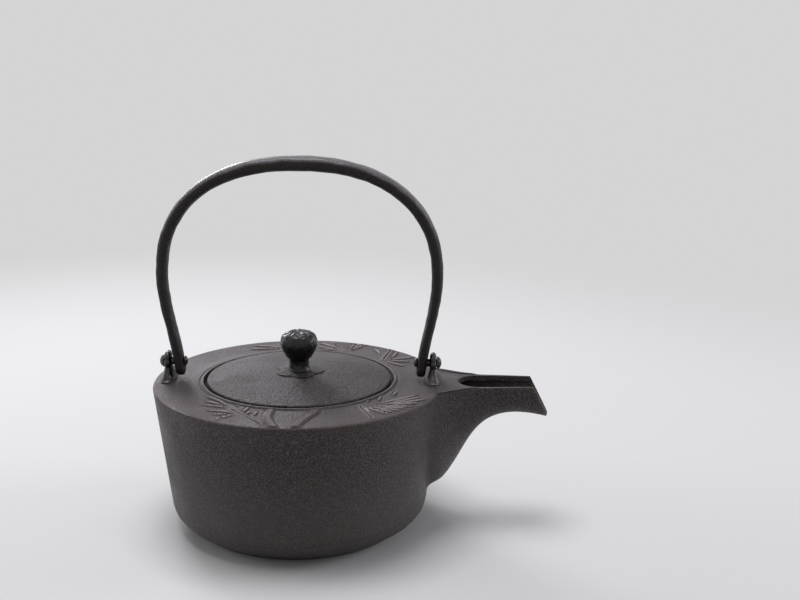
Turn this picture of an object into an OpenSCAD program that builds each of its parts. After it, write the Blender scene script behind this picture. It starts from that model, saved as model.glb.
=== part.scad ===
// Cast iron pouring kettle with a side spout, a bail handle and a drop-in lid.
// Millimetres. The origin is on the pot's axis at the table, +X towards the spout, +Z up.

/* [Pot] */
// Height of the shoulder's outer edge above the table
shoulder_h = 74.3; // [60:0.1:95]
// Diameter where the wall's slope meets the shoulder
rim_d = 148; // [130:0.5:180]
// Diameter where the wall's slope meets the underside
heel_d = 131; // [118:0.5:150]
// Height of that lower corner
heel_h = 8.5; // [6:0.1:14]
// Rounding of the lower corner
heel_round = 11; // [4:0.5:14]
// Rounding of the shoulder's outer edge
edge_round = 2; // [0.5:0.1:4]
// Rounding inside, where the wall meets the shoulder's underside
roof_round = 0.5; // [0.2:0.1:1]
// Diameter of the flat foot
foot_d = 108; // [90:0.5:116]
// Rounding of the foot's edge
foot_edge = 1.2; // [0.2:0.1:2]
// Thickness of the side wall
wall = 2.5; // [2:0.1:4]
// Thickness of the floor
floor_t = 3.2; // [2.5:0.1:5]
// Thickness of the shoulder
shoulder_t = 3; // [2.5:0.1:5]

/* [Mouth] */
// Diameter of the recess that takes the lid
mouth_d = 96.6; // [80:0.2:104]
// Depth of the recess
recess_depth = 2.4; // [1.5:0.1:4]
// Width of the ledge under the lid's edge
ledge_w = 5.1; // [3:0.1:7]
// Thickness of the ledge
ledge_t = 2.6; // [2:0.1:4]
// Rise of the shoulder from its flat part to the mouth
mouth_rise = 0.6; // [0.2:0.1:2]
// Width of the shoulder's rising part
rise_w = 8; // [4:0.1:10]
// Width of the bead round the mouth
bead_w = 1.3; // [0.8:0.1:2]
// Height of that bead
bead_h = 0.5; // [0.2:0.1:1]

/* [Spout] */
// Reach of the spout's top edge beyond the rim
spout_reach = 45.2; // [35:0.2:60]
// Width across the lip
lip_w = 19.8; // [16:0.2:26]
// Depth of the lip
lip_depth = 18.6; // [14:0.2:22]
// How far the lip's lower end stands beyond its top
lip_slant = 8.3; // [2:0.1:12]
// Width of the root at the shoulder
root_w = 60; // [50:0.5:70]
// Depth of the root below the shoulder
root_depth = 59.3; // [50:0.1:62]
// How far the root is set into the pot at the shoulder
root_set = 10; // [8:0.5:14]
// How far the keel is set into the wall at the root
keel_set = 1.9; // [1.5:0.1:3]
// Top edge's curve, pull point near the root: reach beyond the rim
top_pull_in = 3; // [0:0.5:6]
// The same point: half-width beyond the lip's
top_pull_in_w = 0.6; // [0:0.1:2]
// Top edge's curve, pull point near the lip: reach beyond the rim
top_pull_out = 14; // [10:0.5:20]
// The same point: half-width beyond the lip's
top_pull_out_w = 2.7; // [1:0.1:4]
// Keel's curve, pull point near the root: reach beyond the rim
keel_pull_in = 17.2; // [14:0.2:20]
// The same point: depth below the shoulder
keel_pull_in_z = 44.6; // [40:0.2:50]
// Keel's curve, pull point near the lip: reach beyond the rim
keel_pull_out = 5.8; // [2:0.2:10]
// The same point: depth below the shoulder
keel_pull_out_z = 6.3; // [4:0.1:9]
// Thickness of the spout's underside
spout_floor = 2.6; // [2:0.1:3.5]
// Thickness of its side at the lip
lip_wall = 1.6; // [1.2:0.1:2.5]
// Thickness of its side at the root
root_wall = 12; // [8:0.2:16]
// Length of the covered part beyond the rim
deck_len = 7.4; // [4:0.1:14]
// Width of the open slot where it starts
slot_w = 18.4; // [14:0.1:20]

/* [Ears and pins] */
// Distance from the pot's rim in to the middle of a leg, before the set
leg_inset = 12.1; // [11.5:0.1:16]
// How far ears and handle are set from the pot's axis towards the spout
handle_set = 0.8; // [0:0.1:1.5]
// Height of the pins above the shoulder
pin_h = 9.4; // [8.5:0.1:12]
// Diameter of a pin
pin_d = 4; // [3:0.1:5]
// Diameter of a pin's outer head
pin_head_d = 6.6; // [5.5:0.1:9]
// Height of the outer head
pin_head_h = 2.3; // [1.5:0.1:3]
// Diameter of the hammered tail
pin_tail_d = 5.2; // [4.6:0.1:7]
// Height of the tail
pin_tail_h = 1.4; // [0.8:0.1:2]
// Height of an ear
ear_h = 14.8; // [14:0.1:17]
// Width of an ear's foot on the shoulder
ear_w = 20; // [16:0.2:24]
// Thickness of the foot
ear_t = 7.8; // [7:0.1:8.5]
// Diameter of the ear's tang through the shoulder
tang_d = 3.6; // [3:0.1:4.5]
// Height of the tang's hammered end
tang_head_h = 1.4; // [1:0.1:2]
// Diameter of the washer under the shoulder
ear_washer_d = 6.8; // [6:0.1:8]
// Thickness of that washer
ear_washer_t = 1; // [0.8:0.1:1.5]

/* [Handle] */
// Height from the pins to the middle of the handle's top
handle_h = 101.3; // [85:0.5:125]
// How far the handle stands out beyond its legs where it is widest
handle_belly = 7.1; // [2:0.1:12]
// Height of that widest place above the pins
widest_h = 43.6; // [35:0.2:55]
// Lean of a leg at its pin, in degrees
leg_lean = 7; // [0:0.5:9]
// Fullness of the arch, 2 for an ellipse
arch_fullness = 2.3; // [2:0.05:3]
// Thickness of a leg
leg_t = 4.9; // [4:0.1:5.4]
// Width of a leg
leg_w = 10; // [8:0.1:10.5]
// Thickness at the top
top_t = 8; // [5:0.1:9]
// Width at the top
top_w = 11; // [9:0.1:14]
// Length of a leg below its pin
toe = 7.4; // [6:0.1:8]

/* [Lid and knob] */
// Gap round the lid in its recess
lid_gap = 1.6; // [0.8:0.1:3]
// Height of the lid's edge
lid_edge_h = 3.1; // [2:0.1:4.5]
// Rise of the lid's dome
dome_rise = 3; // [1:0.1:6]
// Rounding of the lid's edge
lid_round = 0.8; // [0.3:0.1:1.2]
// Width of the lid's flat margin round the knob's seat
pad_w = 1; // [0.5:0.1:3]
// Thickness of the lid
lid_t = 2.6; // [2:0.1:3]
// Depth of the ring under the lid
flange_h = 4.5; // [2:0.1:8]
// Thickness of that ring
flange_t = 2.8; // [2:0.1:4]
// Diameter of the knob
knob_d = 19.2; // [15:0.1:24]
// Height of the knob
knob_h = 20.4; // [16:0.1:26]
// Diameter of the knob's neck
neck_d = 9.8; // [8:0.1:11]
// Diameter of the knob's tang through the lid
knob_tang_d = 4; // [3:0.1:5]
// Height of that tang's hammered end
knob_head_h = 1.3; // [1:0.1:2]
// Across the petals of the knob's seat
seat_d = 24.8; // [20:0.1:27]
// Thickness of the seat
seat_t = 0.9; // [0.6:0.1:1.5]
// Number of petals
petals = 5; // [4:1:8]
// Diameter of the washer under the lid
knob_washer_d = 9; // [8:0.1:12]
// Thickness of that washer
knob_washer_t = 1; // [0.8:0.1:1.5]

/* [Fits] */
// Running clearance of a leg on its pin, radial
run_gap = 0.06; // [0.02:0.01:0.1]
// Clearance of tangs and pins in fixed holes, and of an ear and a pin's head on their seats
hole_gap = 0.03; // [0.01:0.01:0.1]
// Space left between pieces that move past each other
side_gap = 0.5; // [0.4:0.05:0.8]
// Space between the lid and its ledge
seat_gap = 0.15; // [0.05:0.05:0.3]
// Clearance of the lid's ring in the throat, radial
flange_gap = 0.5; // [0.3:0.05:1]

/* [Hidden] */
$fn = 96;
over = 1;  // what a cut runs past a face

rim_r = rim_d / 2;
heel_r = heel_d / 2;
foot_r = foot_d / 2;
mouth_r = mouth_d / 2;
throat_r = mouth_r - ledge_w;
mouth_z = shoulder_h + mouth_rise;
ledge_z = mouth_z - recess_depth;
rise_r = mouth_r + bead_w + rise_w;
roof_z = shoulder_h - shoulder_t;
ledge_under_r = mouth_r + ledge_t;
inner_heel_round = heel_round - wall / 2;

pin_z = shoulder_h + pin_h;
leg_x = rim_r - leg_inset;
belly_x = leg_x + handle_belly;
ear_washer_z = roof_z - ear_washer_t;
tang_head_d = (tang_d + ear_washer_d) / 2;
tail_x = leg_x - leg_t / 2 - side_gap;

lid_r = mouth_r - lid_gap;
lid_z = ledge_z + seat_gap;
lid_edge_z = lid_z + lid_edge_h;
lid_top_z = lid_edge_z + dome_rise;
pad_r = seat_d / 2 + pad_w;
flange_r = throat_r - flange_gap;
seat_z = lid_top_z;
knob_z = seat_z + seat_t;
lid_under_z = lid_top_z - lid_t;
knob_washer_z = lid_under_z - knob_washer_t;
knob_head_d = (knob_tang_d + knob_washer_d) / 2;

function unit(v) = v / norm(v);
function mix(a, b, t) = a + (b - a) * t;
function smooth(t) = t * t * (3 - 2 * t);
function spow(v, p) = sign(v) * pow(abs(v), p);

// Rounded corner b between a and c: points of the arc that touches both sides
function corner(a, b, c, r, steps = 6) = r == 0 ? [b] :
    let (u = unit(a - b), w = unit(c - b), half = acos(u * w) / 2,
         m = b + unit(u + w) * r / sin(half),
         s = b + u * r / tan(half) - m, e = b + w * r / tan(half) - m,
         from = atan2(s.y, s.x), d = atan2(e.y, e.x) - from,
         turn = d > 180 ? d - 360 : d < -180 ? d + 360 : d)
    [for (i = [0:steps]) m + r * [cos(from + turn * i / steps), sin(from + turn * i / steps)]];

// Outline of [x, y, rounding] corners with every corner rounded
function rounded(p) = let (n = len(p), at = function(i) [p[(i + n) % n].x, p[(i + n) % n].y])
    [for (i = [0:n - 1]) each corner(at(i - 1), at(i), at(i + 1), p[i].z)];

// Radius of the outer wall's straight slope at a height
function wall_r(z) = mix(heel_r, rim_r, (z - heel_h) / (shoulder_h - heel_h));

// Thickness of an ear's boss round the pin, as a share of its foot's
boss_share = 0.5;
// Middle of an ear, whose top stays clear of the leaning leg
ear_mid = leg_x + leg_t / 2 + (ear_h - pin_h) * tan(leg_lean) + side_gap + boss_share * ear_t / 2;

// Radius to which the shoulder's underside is flat; an ear's tang stands under the ear's middle,
// or as far out as its washer lies flat
roof_r = wall_r(roof_z) - wall - 2 * roof_round;
tang_x = min(ear_mid, roof_r - ear_washer_d / 2 - handle_set);

// Faces of a solid made of equal rings of points, closed by its first and last ring
function ring_faces(rings, sides) = concat(
    [[for (j = [0:sides - 1]) j]],
    [for (i = [0:rings - 2], j = [0:sides - 1]) let (k = (j + 1) % sides)
        each [[i * sides + j, (i + 1) * sides + j, (i + 1) * sides + k],
              [i * sides + j, (i + 1) * sides + k, i * sides + k]]],
    [[for (j = [sides - 1:-1:0]) (rings - 1) * sides + j]]);

module solid_of_rings(rings) {
    polyhedron([for (r = rings) each r], ring_faces(len(rings), len(rings[0])));
}

// Pot

pot_outline = rounded([
    [0, 0, 0], [foot_r, 0, foot_edge], [heel_r, heel_h, heel_round],
    [rim_r, shoulder_h, edge_round], [rise_r, shoulder_h, 0], [mouth_r + bead_w, mouth_z, 0],
    [mouth_r + bead_w * 0.8, mouth_z + bead_h, 0], [mouth_r + bead_w * 0.2, mouth_z + bead_h, 0],
    [mouth_r, mouth_z, 0], [0, mouth_z, 0]]);

cavity_outline = rounded([
    [0, floor_t, 0], [foot_r - wall, floor_t, 0],
    [wall_r(heel_h + floor_t) - wall, heel_h + floor_t, inner_heel_round],
    [wall_r(roof_z) - wall, roof_z, roof_round], [ledge_under_r, roof_z, 0],
    [mouth_r, ledge_z - ledge_t, 0], [throat_r, ledge_z - ledge_t, 0], [throat_r, ledge_z, 0],
    [mouth_r, ledge_z, 0], [mouth_r, mouth_z + over, 0], [0, mouth_z + over, 0]]);

// Spout: two curves, its top edge seen from above and its keel seen from the side, carry round sections.
// A curve is four points, the first at the root inside the wall and the last at the lip.

top_curve = [[rim_r - root_set, root_w / 2], [rim_r + top_pull_in, lip_w / 2 + top_pull_in_w],
             [rim_r + top_pull_out, lip_w / 2 + top_pull_out_w], [rim_r + spout_reach, lip_w / 2]];
keel_curve = [[wall_r(shoulder_h - root_depth) - keel_set, -root_depth],
              [rim_r + keel_pull_in, -keel_pull_in_z], [rim_r + keel_pull_out, -keel_pull_out_z],
              [rim_r + spout_reach + lip_slant, -lip_depth]];
spout_round = 2.3;
spout_rings = 16;
spout_sides = 14;

function curve(p, t) = pow(1 - t, 3) * p[0] + 3 * pow(1 - t, 2) * t * p[1]
    + 3 * (1 - t) * t * t * p[2] + pow(t, 3) * p[3];
function slope(p, t) = unit(pow(1 - t, 2) * (p[1] - p[0]) + 2 * (1 - t) * t * (p[2] - p[1])
    + t * t * (p[3] - p[2]));
function keel(t, inset) = let (d = slope(keel_curve, t)) curve(keel_curve, t) + inset * [-d.y, d.x];

// Point of the spout at station t and angle a, from -90 at one top edge to 90 at the other
function spout_point(t, a, inset, side) =
    let (c = pow(abs(cos(a)), 2 / spout_round), s = spow(sin(a), 2 / spout_round),
         top = curve(top_curve, t), low = keel(t, inset))
    [mix(top.x, low.x, c), (top.y - side) * s, shoulder_h + low.y * c];
function spout_ring(t, inset, side) =
    [for (j = [0:spout_sides]) spout_point(t, -90 + 180 * j / spout_sides, inset, side)];
function side_wall(t) = mix(lip_wall, root_wall, pow(1 - t, 3));

module spout_outside() {
    solid_of_rings([for (i = [0:spout_rings]) spout_ring(i / spout_rings, 0, 0)]);
}

// The channel stays below the covered part and runs out past the lip
module spout_channel() {
    lip = spout_ring(1, spout_floor, lip_wall);
    intersection() {
        solid_of_rings(concat(
            [for (i = [0:spout_rings]) let (t = i / spout_rings) spout_ring(t, spout_floor, side_wall(t))],
            [[for (p = lip) p + [4 * over, 0, 0]]]));
        translate([0, -root_w, 0])
            cube([rim_r + spout_reach + lip_slant + 10 * over, 2 * root_w, roof_z]);
    }
}

// Open slot in the top: a round inner end, then two sides that narrow to the lip and run out past it
module spout_slot() {
    start = rim_r + deck_len + slot_w / 2;
    lip_x = rim_r + spout_reach;
    end = lip_x + lip_slant + over;
    lip_y = lip_w / 2 - lip_wall;
    translate([0, 0, roof_z - over]) linear_extrude(shoulder_t + 2 * over) {
        translate([start, 0]) circle(d = slot_w);
        polygon([[start, -slot_w / 2], [lip_x, -lip_y], [end, -lip_y], [end, lip_y], [lip_x, lip_y],
                 [start, slot_w / 2]]);
    }
}

module ear_holes() {
    for (side = [-1, 1])
        translate([side * tang_x + handle_set, 0, roof_z - over])
            cylinder(d = tang_d + 2 * hole_gap, h = shoulder_t + 2 * over);
}

module body() color([0.2, 0.18, 0.18]) difference() {
    union() {
        rotate_extrude() polygon(pot_outline);
        spout_outside();
    }
    rotate_extrude() polygon(cavity_outline);
    spout_channel();
    spout_slot();
    ear_holes();
}

// Ears and pins: made for the spout's side and turned half round for the rear

// Ear from its foot up, with a waist, a boss round the pin and a knob on top:
// [height share, width share, thickness share]
ear_shape = [[0, 1, 1], [0.05, 0.98, 0.96], [0.065, 0.84, 0.7], [0.14, 0.73, 0.62], [0.27, 0.58, 0.54],
             [0.45, 0.46, 0.45], [0.57, 0.52, 0.49], [0.635, 0.53, boss_share], [0.69, 0.5, 0.46],
             [0.735, 0.45, 0.41], [0.78, 0.47, 0.46], [0.86, 0.45, 0.47], [0.94, 0.34, 0.36],
             [0.985, 0.17, 0.18], [1, 0.03, 0.03]];
ear_sides = 16;
ear_fullness = 3;

function ear_ring(p) = [for (j = [0:ear_sides - 1]) let (q = 360 * j / ear_sides)
    [ear_mid + p[2] * ear_t / 2 * spow(cos(q), 2 / ear_fullness),
     p[1] * ear_w / 2 * spow(sin(q), 2 / ear_fullness), shoulder_h + hole_gap + p[0] * ear_h]];

module ear() color([0.12, 0.11, 0.11]) {
    difference() {
        solid_of_rings([for (p = ear_shape) ear_ring(p)]);
        translate([ear_mid - ear_t, 0, pin_z]) rotate([0, 90, 0])
            cylinder(d = pin_d + 2 * hole_gap, h = 2 * ear_t);
    }
    translate([tang_x, 0, ear_washer_z]) cylinder(d = tang_d, h = shoulder_h + over - ear_washer_z);
    translate([tang_x, 0, ear_washer_z - tang_head_h])
        cylinder(d1 = tang_d, d2 = tang_head_d, h = tang_head_h);
}

module ear_washer() color([0.16, 0.15, 0.15])
    translate([tang_x, 0, ear_washer_z]) difference() {
        cylinder(d = ear_washer_d, h = ear_washer_t);
        translate([0, 0, -over]) cylinder(d = tang_d + 2 * hole_gap, h = ear_washer_t + 2 * over);
    }

// Round-headed pin along X: a domed head outside the ear and a flatter one inside the leg.
// A dome's points run from its rim to its tip, which stands h beyond the rim
function dome(d, h, rim, way, steps = 6) =
    [for (i = [0:steps]) [d / 2 * cos(90 * i / steps), rim + way * h * sin(90 * i / steps)]];
function backwards(p) = [for (i = [len(p) - 1:-1:0]) p[i]];

module pin() color([0.12, 0.11, 0.11])
    translate([0, 0, pin_z]) rotate([0, 90, 0]) rotate_extrude() {
        head_x = ear_mid + boss_share * ear_t / 2 + hole_gap;
        polygon(concat(backwards(dome(pin_tail_d, pin_tail_h, tail_x, -1)),
            [[pin_d / 2, tail_x], [pin_d / 2, head_x]], dome(pin_head_d, pin_head_h, head_x, 1)));
    }

// Where ears, pins and handle stand along the pot
module set() translate([handle_set, 0, 0]) children();
module front_ear() set() ear();
module rear_ear() set() rotate(180) ear();
module front_ear_washer() set() ear_washer();
module rear_ear_washer() set() rotate(180) ear_washer();
module front_pin() set() pin();
module rear_pin() set() rotate(180) pin();

// Handle: a flat bar with round edges along a line in the plane of the pins

leg_steps = 8;
arch_steps = 14;
toe_steps = 5;
bar_sides = 16;
bar_round = 2.6;
leg_share = 0.42;  // how much of the bar's change in size lies in its legs

// One half of the line, from the toe to the top: [x, z, thickness, width]
function toe_station(u) = let (drop = toe * (1 - u), flat = toe - leg_w / 2,
        r = drop > flat ? (drop - flat) / (leg_w / 2) : 0)
    [leg_x - drop * tan(leg_lean), pin_z - drop, leg_t, leg_w * sqrt(1 - 0.97 * r * r)];
function leg_station(u) = let (lean = widest_h * tan(leg_lean) * u * (1 - u) * (1 - u))
    [mix(leg_x, belly_x, smooth(u)) + lean, pin_z + widest_h * u,
     mix(leg_t, top_t, u * leg_share), mix(leg_w, top_w, u * leg_share)];
function arch_station(u) = [belly_x * pow(cos(90 * u), 2 / arch_fullness),
    pin_z + widest_h + (handle_h - widest_h) * pow(sin(90 * u), 2 / arch_fullness),
    mix(leg_t, top_t, mix(leg_share, 1, u)), mix(leg_w, top_w, mix(leg_share, 1, u))];
half_line = concat([for (i = [0:toe_steps - 1]) toe_station(i / toe_steps)],
    [for (i = [0:leg_steps - 1]) leg_station(i / leg_steps)],
    [for (i = [0:arch_steps]) arch_station(i / arch_steps)]);
half_count = len(half_line);
bar_line = concat(half_line,
    [for (i = [half_count - 2:-1:0]) let (s = half_line[i]) [-s[0], s[1], s[2], s[3]]]);

function bar_ring(i) =
    let (last = len(bar_line) - 1, s = bar_line[i],
         a = bar_line[max(i - 1, 0)], b = bar_line[min(i + 1, last)],
         d = unit([b.x - a.x, b.y - a.y]), out = [d.y, 0, -d.x])
    [for (j = [0:bar_sides - 1]) let (q = 360 * j / bar_sides)
        [s.x, 0, s.y] + out * s[2] / 2 * spow(cos(q), 2 / bar_round)
            + [0, s[3] / 2 * spow(sin(q), 2 / bar_round), 0]];

module handle() color([0.11, 0.1, 0.1]) set() difference() {
    solid_of_rings([for (i = [0:len(bar_line) - 1]) bar_ring(i)]);
    for (side = [-1, 1])
        translate([side * leg_x - leg_t, 0, pin_z]) rotate([0, 90, 0])
            cylinder(d = pin_d + 2 * run_gap, h = 2 * leg_t);
}

// Lid, and the knob on its petalled seat

dome_steps = 8;
function dome_z(r) = lid_edge_z + dome_rise * (1 - pow((max(r, pad_r) - pad_r) / (lid_r - pad_r), 2));

module lid() color([0.25, 0.25, 0.28]) rotate_extrude() {
    hole_r = knob_tang_d / 2 + hole_gap;
    ring_in = flange_r - flange_t;
    polygon(concat(
        [[hole_r, lid_under_z], [hole_r, lid_top_z]],
        [for (i = [0:dome_steps]) let (r = mix(pad_r, lid_r - lid_round, i / dome_steps)) [r, dome_z(r)]],
        [[lid_r, lid_edge_z - lid_round], [lid_r, lid_z], [flange_r, lid_z], [flange_r, lid_z - flange_h],
         [ring_in, lid_z - flange_h]],
        [for (i = [0:dome_steps]) let (r = mix(ring_in, pad_r, i / dome_steps)) [r, dome_z(r) - lid_t]]));
}

module knob_seat() color([0.12, 0.11, 0.12]) translate([0, 0, seat_z]) linear_extrude(seat_t) {
    petal_r = seat_d / 2 * sin(180 / petals) * 0.72;
    difference() {
        union() {
            circle(seat_d / 2 - petal_r);
            for (i = [0:petals - 1])
                rotate(360 * i / petals) translate([seat_d / 2 - petal_r, 0]) circle(petal_r);
        }
        circle(knob_tang_d / 2 + hole_gap);
    }
}

// Bud on a neck: [radius share between neck and bud, height share] up its side, with a dipped top
bud = [[0.2, 0], [0.06, 0.05], [0, 0.15], [0, 0.25], [0.14, 0.315], [0.36, 0.36], [0.57, 0.435], [0.74, 0.5],
       [0.91, 0.595], [1, 0.7], [0.96, 0.79], [0.77, 0.89], [0.42, 0.955], [-0.05, 0.995], [-0.6, 0.985]];

module knob() color([0.1, 0.09, 0.1]) {
    side = [for (p = bud) [mix(neck_d, knob_d, p.x) / 2, knob_z + knob_h * p.y]];
    rotate_extrude() polygon(concat([[0, knob_z]], side, [[0, knob_z + knob_h * 0.96]]));
    translate([0, 0, knob_washer_z]) cylinder(d = knob_tang_d, h = knob_z - knob_washer_z + over);
    translate([0, 0, knob_washer_z - knob_head_h])
        cylinder(d1 = knob_tang_d, d2 = knob_head_d, h = knob_head_h);
}

module knob_washer() color([0.16, 0.15, 0.15])
    translate([0, 0, knob_washer_z]) difference() {
        cylinder(d = knob_washer_d, h = knob_washer_t);
        translate([0, 0, -over]) cylinder(d = knob_tang_d + 2 * hole_gap, h = knob_washer_t + 2 * over);
    }

body();
front_ear();
rear_ear();
front_ear_washer();
rear_ear_washer();
front_pin();
rear_pin();
handle();
lid();
knob();
knob_seat();
knob_washer();
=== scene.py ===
import bmesh
import bpy
import math
import numpy as np
from mathutils import Matrix, Vector


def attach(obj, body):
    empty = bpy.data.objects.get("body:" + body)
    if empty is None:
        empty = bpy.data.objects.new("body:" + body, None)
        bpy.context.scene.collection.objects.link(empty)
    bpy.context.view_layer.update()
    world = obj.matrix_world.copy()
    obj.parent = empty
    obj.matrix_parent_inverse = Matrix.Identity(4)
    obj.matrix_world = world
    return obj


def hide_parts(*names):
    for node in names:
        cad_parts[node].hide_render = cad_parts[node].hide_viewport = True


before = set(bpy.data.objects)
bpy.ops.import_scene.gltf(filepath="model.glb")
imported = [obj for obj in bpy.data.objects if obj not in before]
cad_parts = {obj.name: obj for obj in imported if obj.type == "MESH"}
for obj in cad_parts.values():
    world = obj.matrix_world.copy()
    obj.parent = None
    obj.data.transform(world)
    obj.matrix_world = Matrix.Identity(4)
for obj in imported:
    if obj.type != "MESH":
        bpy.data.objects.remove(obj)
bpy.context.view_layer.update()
mm = 0.001  # shapes and bump depths are in millimetres, as in the part's source, and the rest is in metres
farAway = 1e3


# small helpers

def mix(a, b, t):
    return a + (b - a) * t


def smooth(t):
    # smooth step from 0 to 1
    t = np.clip(t, 0, 1)
    return t * t * (3 - 2 * t)


def bump(d, width):
    # bell of height 1 that falls off over the width
    return np.exp(-(d / width) ** 2)


def signedPower(v, p):
    return np.sign(v) * np.abs(v) ** p


def around(steps):
    # angles of a full turn
    return np.linspace(0, 2 * math.pi, steps + 1)


def joined(*parts):
    # arrays as the columns of one, such as the x, y and z of points
    return np.stack(np.broadcast_arrays(*parts), -1)


def polar(r, angle, z):
    # points at a radius, an angle about Z and a height
    return joined(r * np.cos(angle), r * np.sin(angle), z)


# a wave in the settings below is (length, seed)
waves = dict(count=6, spread=(0.7, 1.4), phase=6.3, gain=1.6)


def ripple(p, length, seed):
    # slow unevenness between -1 and 1: mean of sine waves of about that length, in fixed random directions
    rng = np.random.default_rng(seed)
    way = rng.normal(size=(waves["count"], 3))
    way /= np.linalg.norm(way, axis=1)[:, None]
    often = rng.uniform(*waves["spread"], waves["count"]) * 2 * math.pi / length
    phase = rng.uniform(0, waves["phase"], waves["count"])
    return np.clip(np.sin(p @ (way * often[:, None]).T + phase).mean(-1) * waves["gain"], -1, 1)


def roundedLine(corners, steps=5):
    # line through (x, y, radius) corners, each replaced by the arc that touches both its sides
    c = np.array(corners, float)
    line = [c[:1, :2]]
    for a, b, d in zip(c[:-2], c[1:-1], c[2:]):
        if b[2] == 0:
            line.append(b[None, :2])
            continue
        u = (a - b)[:2] / np.linalg.norm((a - b)[:2])
        w = (d - b)[:2] / np.linalg.norm((d - b)[:2])
        half = np.arccos(np.clip(u @ w, -1, 1)) / 2
        middle = b[:2] + (u + w) / np.linalg.norm(u + w) * b[2] / np.sin(half)
        start = b[:2] + u * b[2] / np.tan(half) - middle
        end = b[:2] + w * b[2] / np.tan(half) - middle
        turn = np.arctan2(start[0] * end[1] - start[1] * end[0], start @ end)
        f = np.linspace(0, turn, steps + 1)
        line.append(middle + joined(start[0] * np.cos(f) - start[1] * np.sin(f),
                                    start[0] * np.sin(f) + start[1] * np.cos(f)))
    line.append(c[-1:, :2])
    return np.concatenate(line)


def filled(line, step):
    # the same line with points added on its long stretches, at most a step apart
    parts = [np.linspace(a, b, max(int(np.ceil(np.linalg.norm(b - a) / step)), 1), endpoint=False)
             for a, b in zip(line[:-1], line[1:])]
    return np.concatenate(parts + [line[-1:]])


def spun(line, angle):
    # surface of revolution: (radius, height) points turned about Z to the angles, which are one row for all
    # points or a row for each
    return polar(line[:, :1], angle, line[:, 1:])


fullTurn = around(144)


# meshes

joining = dict(together=0.003, sliver=0.001)


def patchMesh(name, patches):
    # one closed mesh from grids of points in mm: neighbours in a grid become quads, points of two grids
    # that lie together are merged, slivers go, and the faces are turned outwards
    grids, faces, count = [], [], 0
    for p in patches:
        rows, cols = p.shape[:2]
        k = np.arange(rows * cols).reshape(rows, cols) + count
        faces.append(joined(k[:-1, :-1], k[1:, :-1], k[1:, 1:], k[:-1, 1:]).reshape(-1, 4))
        grids.append(p.reshape(-1, 3) * mm)
        count += rows * cols
    mesh = bpy.data.meshes.new(name)
    mesh.from_pydata(np.concatenate(grids).tolist(), [], np.concatenate(faces).tolist())
    bm = bmesh.new()
    bm.from_mesh(mesh)
    bmesh.ops.remove_doubles(bm, verts=bm.verts, dist=joining["together"] * mm)
    bmesh.ops.dissolve_degenerate(bm, edges=bm.edges, dist=joining["sliver"] * mm)
    bmesh.ops.recalc_face_normals(bm, faces=bm.faces)
    bm.to_mesh(mesh)
    bm.free()
    mesh.polygons.foreach_set("use_smooth", np.ones(len(mesh.polygons), bool))
    return mesh


def fetched(items, key, width, kind):
    values = np.empty(len(items) * width, kind)
    items.foreach_get(key, values)
    return values.reshape(-1, width)


def points(mesh):
    return fetched(mesh.vertices, "co", 3, np.float32).astype(float) / mm


def normals(mesh):
    return fetched(mesh.vertex_normals, "vector", 3, np.float32).astype(float)


def edgesOf(mesh):
    return fetched(mesh.edges, "vertices", 2, np.int32)


def movePoints(mesh, p):
    mesh.vertices.foreach_set("co", (p * mm).astype(np.float32).ravel())
    mesh.update()


def averaged(values, edges):
    # mean of each point's neighbours along the edges, or its own value if it has none
    total = np.zeros_like(values)
    np.add.at(total, edges[:, 0], values[edges[:, 1]])
    np.add.at(total, edges[:, 1], values[edges[:, 0]])
    count = np.bincount(edges.ravel(), minlength=len(values)).reshape(-1, *[1] * (values.ndim - 1))
    return np.where(count > 0, total / np.maximum(count, 1), values)


def paint(mesh, name, values):
    layer = mesh.attributes.new(name, "FLOAT", "POINT")
    layer.data.foreach_set("value", values.astype(np.float32))


def paintEdges(mesh):
    # how far each point stands out: the mean slope down to its neighbours, high on edges that hands rub, and
    # half of it spread to them
    p, n, edges = points(mesh), normals(mesh), edgesOf(mesh)
    step = p[edges[:, 1]] - p[edges[:, 0]]
    step /= np.linalg.norm(step, axis=1)[:, None] + 1e-9
    out = np.zeros(len(p))
    np.add.at(out, edges[:, 0], -(n[edges[:, 0]] * step).sum(1))
    np.add.at(out, edges[:, 1], (n[edges[:, 1]] * step).sum(1))
    out /= np.bincount(edges.ravel(), minlength=len(p))
    paint(mesh, "edge", mix(out, averaged(out, edges), 0.5))


def addObject(name, data):
    obj = bpy.data.objects.new(name, data)
    bpy.context.scene.collection.objects.link(obj)
    return obj


def makePiece(name, mesh, body, slot, material, *nodes):
    paintEdges(mesh)
    piece = addObject(name, mesh)
    mesh.materials.append(material)
    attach(piece, body)
    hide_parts(*nodes)
    print(name, len(mesh.polygons), "faces")


# shader nodes

def addNode(tree, kind, links=None, **values):
    # node of a kind with values on its sockets or settings, and links from other sockets into it
    n = tree.nodes.new("ShaderNode" + kind)
    for key, value in values.items():
        if hasattr(n, key):
            setattr(n, key, value)
        else:
            n.inputs[key].default_value = value
    for key, source in (links or {}).items():
        tree.links.new(source, n.inputs[key])
    return n


def feed(tree, socket, value):
    # a plain value is set on the socket, another node's output is linked to it
    if isinstance(value, (int, float, tuple)):
        socket.default_value = value
    else:
        tree.links.new(value, socket)


def newGroup(name, inputs, outputs):
    tree = bpy.data.node_groups.new(name, "ShaderNodeTree")
    for key, value in inputs.items():
        tree.interface.new_socket(key, in_out="INPUT", socket_type="NodeSocketFloat").default_value = value
    for key in outputs:
        tree.interface.new_socket(key, in_out="OUTPUT", socket_type="NodeSocketFloat")
    return tree, tree.nodes.new("NodeGroupInput").outputs, tree.nodes.new("NodeGroupOutput").inputs


def math2(tree, operation, a, b, clamp=False):
    n = addNode(tree, "Math", operation=operation, use_clamp=clamp)
    feed(tree, n.inputs[0], a)
    feed(tree, n.inputs[1], b)
    return n.outputs[0]


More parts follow.
